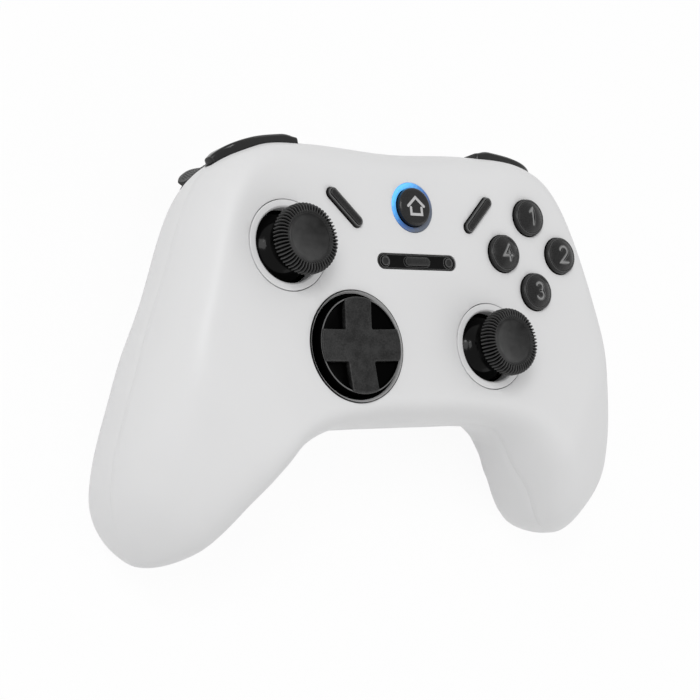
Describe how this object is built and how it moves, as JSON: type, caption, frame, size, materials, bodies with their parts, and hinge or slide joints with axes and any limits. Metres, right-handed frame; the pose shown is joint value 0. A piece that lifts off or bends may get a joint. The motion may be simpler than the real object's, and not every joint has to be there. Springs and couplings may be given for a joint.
{
  "type": "gamepad controller",
  "caption": "Two-grip gamepad controller with offset thumbsticks, directional pad, face buttons, bumpers and triggers in a two-shell casing.",
  "frame": {"origin": "on the rest plane, under the middle of the belly and on the centre line", "axes": "+X to the player's right, +Y towards the shoulder buttons, +Z out of the face"},
  "size_m": [0.154, 0.1029, 0.0564],
  "materials": {
    "shell_white": "fine satin texture",
    "ring_white": "smooth satin",
    "stick_black": "matte knurled edge, glossy dome",
    "pad_black": "satin with fine grain",
    "button_black": "satin",
    "light_blue": "translucent",
    "shoulder_black": "polished",
    "trigger_black": "fine dotted texture",
    "steel": "plain",
    "weight_metal": "plain",
    "inner_plastic": "moulded",
    "silicone": "soft",
    "board_green": "solder mask",
    "battery_wrap": "film"
  },
  "bodies": {
    "casing": {"front_shell": "shell_white", "back_shell": "shell_white", "left_stick_ring": "ring_white", "right_stick_ring": "ring_white", "pad_ring": "pad_black", "pad_support": "inner_plastic", "pad_membrane": "silicone", "button_membrane": "silicone", "home_light_ring": "light_blue", "bar_bezel": "button_black", "bar_lens": "button_black", "bumper_pins": "steel", "bumper_switches": "inner_plastic", "left_trigger_bracket": "inner_plastic", "right_trigger_bracket": "inner_plastic", "trigger_pins": "steel", "left_trigger_spring": "steel", "right_trigger_spring": "steel", "left_stick_housing": "inner_plastic", "right_stick_housing": "inner_plastic", "stick_sensors": "inner_plastic", "click_switches": "inner_plastic", "main_board": "board_green", "tact_switches": "inner_plastic", "usb_socket": "steel", "battery": "battery_wrap", "left_motor": "steel", "right_motor": "steel", "board_screws": "steel", "case_screws": "steel"},
    "left_yoke": {"left_stick_yoke": "inner_plastic"},
    "left_lever": {"left_stick_pivot": "inner_plastic"},
    "left_stick": {"left_stick_cap": "stick_black", "left_stick_stem": "steel"},
    "left_arm": {"left_stick_arm": "inner_plastic"},
    "right_yoke": {"right_stick_yoke": "inner_plastic"},
    "right_lever": {"right_stick_pivot": "inner_plastic"},
    "right_stick": {"right_stick_cap": "stick_black", "right_stick_stem": "steel"},
    "right_arm": {"right_stick_arm": "inner_plastic"},
    "pad_spider": {"pad_pivot": "steel"},
    "pad": {"pad_cross": "pad_black"},
    "button_1": {"button_1": "button_black"},
    "button_2": {"button_2": "button_black"},
    "button_3": {"button_3": "button_black"},
    "button_4": {"button_4": "button_black"},
    "home_button": {"home_button": "button_black"},
    "left_slim_button": {"left_slim_button": "button_black"},
    "right_slim_button": {"right_slim_button": "button_black"},
    "bar_left_button": {"bar_left_button": "button_black"},
    "bar_right_button": {"bar_right_button": "button_black"},
    "left_bumper": {"left_bumper": "shoulder_black"},
    "left_trigger": {"left_trigger": "trigger_black"},
    "left_weight": {"left_motor_weight": "weight_metal"},
    "right_bumper": {"right_bumper": "shoulder_black"},
    "right_trigger": {"right_trigger": "trigger_black"},
    "right_weight": {"right_motor_weight": "weight_metal"}
  },
  "joints": [
    {"name": "left_stick_side_tilt", "type": "hinge", "parent": "casing", "child": "left_yoke", "pos_m": [-0.039, 0.017, 0.036], "axis": [0, 1, 0], "range_deg": [-16, 16], "stiffness_Nm_per_rad": 0.02},
    {"name": "left_stick_up_tilt", "type": "hinge", "parent": "left_yoke", "child": "left_lever", "pos_m": [-0.039, 0.017, 0.036], "axis": [1, 0, 0], "range_deg": [-16, 16], "stiffness_Nm_per_rad": 0.02},
    {"name": "left_stick_click", "type": "slide", "parent": "left_lever", "child": "left_stick", "axis": [0, 0, -1], "range_m": [0, 0.0004], "stiffness_N_per_m": 800, "springref_m": -0.001},
    {"name": "left_stick_arm_swing", "type": "hinge", "parent": "casing", "child": "left_arm", "pos_m": [-0.039, 0.017, 0.036], "axis": [1, 0, 0], "range_deg": [-16, 16]},
    {"name": "right_stick_side_tilt", "type": "hinge", "parent": "casing", "child": "right_yoke", "pos_m": [0.0215, -0.0075, 0.036], "axis": [0, 1, 0], "range_deg": [-16, 16], "stiffness_Nm_per_rad": 0.02},
    {"name": "right_stick_up_tilt", "type": "hinge", "parent": "right_yoke", "child": "right_lever", "pos_m": [0.0215, -0.0075, 0.036], "axis": [1, 0, 0], "range_deg": [-16, 16], "stiffness_Nm_per_rad": 0.02},
    {"name": "right_stick_click", "type": "slide", "parent": "right_lever", "child": "right_stick", "axis": [0, 0, -1], "range_m": [0, 0.0004], "stiffness_N_per_m": 800, "springref_m": -0.001},
    {"name": "right_stick_arm_swing", "type": "hinge", "parent": "casing", "child": "right_arm", "pos_m": [0.0215, -0.0075, 0.036], "axis": [1, 0, 0], "range_deg": [-16, 16]},
    {"name": "pad_up_rock", "type": "hinge", "parent": "casing", "child": "pad_spider", "pos_m": [-0.0215, -0.0075, 0.043], "axis": [1, 0, 0], "range_deg": [-5, 5], "stiffness_Nm_per_rad": 0.01, "deforming": ["pad_membrane"]},
    {"name": "pad_side_rock", "type": "hinge", "parent": "pad_spider", "child": "pad", "pos_m": [-0.0215, -0.0075, 0.043], "axis": [0, 1, 0], "range_deg": [-5, 5], "stiffness_Nm_per_rad": 0.01, "deforming": ["pad_membrane"]},
    {"name": "button_1_press", "type": "slide", "parent": "casing", "child": "button_1", "axis": [0, 0, -1], "range_m": [0, 0.0015], "stiffness_N_per_m": 300, "springref_m": -0.0005, "deforming": ["button_membrane"]},
    {"name": "button_2_press", "type": "slide", "parent": "casing", "child": "button_2", "axis": [0, 0, -1], "range_m": [0, 0.0015], "stiffness_N_per_m": 300, "springref_m": -0.0005, "deforming": ["button_membrane"]},
    {"name": "button_3_press", "type": "slide", "parent": "casing", "child": "button_3", "axis": [0, 0, -1], "range_m": [0, 0.0015], "stiffness_N_per_m": 300, "springref_m": -0.0005, "deforming": ["button_membrane"]},
    {"name": "button_4_press", "type": "slide", "parent": "casing", "child": "button_4", "axis": [0, 0, -1], "range_m": [0, 0.0015], "stiffness_N_per_m": 300, "springref_m": -0.0005, "deforming": ["button_membrane"]},
    {"name": "home_button_press", "type": "slide", "parent": "casing", "child": "home_button", "axis": [0, 0, -1], "range_m": [0, 0.0004], "stiffness_N_per_m": 600, "springref_m": -0.0005},
    {"name": "left_slim_button_press", "type": "slide", "parent": "casing", "child": "left_slim_button", "axis": [0, 0, -1], "range_m": [0, 0.0004], "stiffness_N_per_m": 600, "springref_m": -0.0005},
    {"name": "right_slim_button_press", "type": "slide", "parent": "casing", "child": "right_slim_button", "axis": [0, 0, -1], "range_m": [0, 0.0004], "stiffness_N_per_m": 600, "springref_m": -0.0005},
    {"name": "bar_left_button_press", "type": "slide", "parent": "casing", "child": "bar_left_button", "axis": [0, 0, -1], "range_m": [0, 0.0004], "stiffness_N_per_m": 600, "springref_m": -0.0005},
    {"name": "bar_right_button_press", "type": "slide", "parent": "casing", "child": "bar_right_button", "axis": [0, 0, -1], "range_m": [0, 0.0004], "stiffness_N_per_m": 600, "springref_m": -0.0005},
    {"name": "left_bumper_press", "type": "hinge", "parent": "casing", "child": "left_bumper", "pos_m": [-0.025, 0.0393, 0.0243], "axis": [0, 0, 1], "range_deg": [0, 2], "stiffness_Nm_per_rad": 0.05, "springref_deg": -2.86},
    {"name": "left_trigger_pull", "type": "hinge", "parent": "casing", "child": "left_trigger", "pos_m": [-0.04, 0.033, 0.021], "axis": [-1, 0, 0], "range_deg": [0, 18], "stiffness_Nm_per_rad": 0.05, "springref_deg": -11.46},
    {"name": "left_weight_spin", "type": "hinge", "parent": "casing", "child": "left_weight", "pos_m": [-0.057, -0.024, 0.0115], "axis": [0, 0, 1], "continuous": true},
    {"name": "right_bumper_press", "type": "hinge", "parent": "casing", "child": "right_bumper", "pos_m": [0.025, 0.0393, 0.0243], "axis": [0, 0, -1], "range_deg": [0, 2], "stiffness_Nm_per_rad": 0.05, "springref_deg": -2.86},
    {"name": "right_trigger_pull", "type": "hinge", "parent": "casing", "child": "right_trigger", "pos_m": [0.04, 0.033, 0.021], "axis": [-1, 0, 0], "range_deg": [0, 18], "stiffness_Nm_per_rad": 0.05, "springref_deg": -11.46},
    {"name": "right_weight_spin", "type": "hinge", "parent": "casing", "child": "right_weight", "pos_m": [0.057, -0.024, 0.0115], "axis": [0, 0, 1], "continuous": true}
  ],
  "couplings": [
    {"joint": "left_stick_arm_swing", "follows": "left_stick_up_tilt", "ratio": 1},
    {"joint": "right_stick_arm_swing", "follows": "right_stick_up_tilt", "ratio": 1}
  ]
}
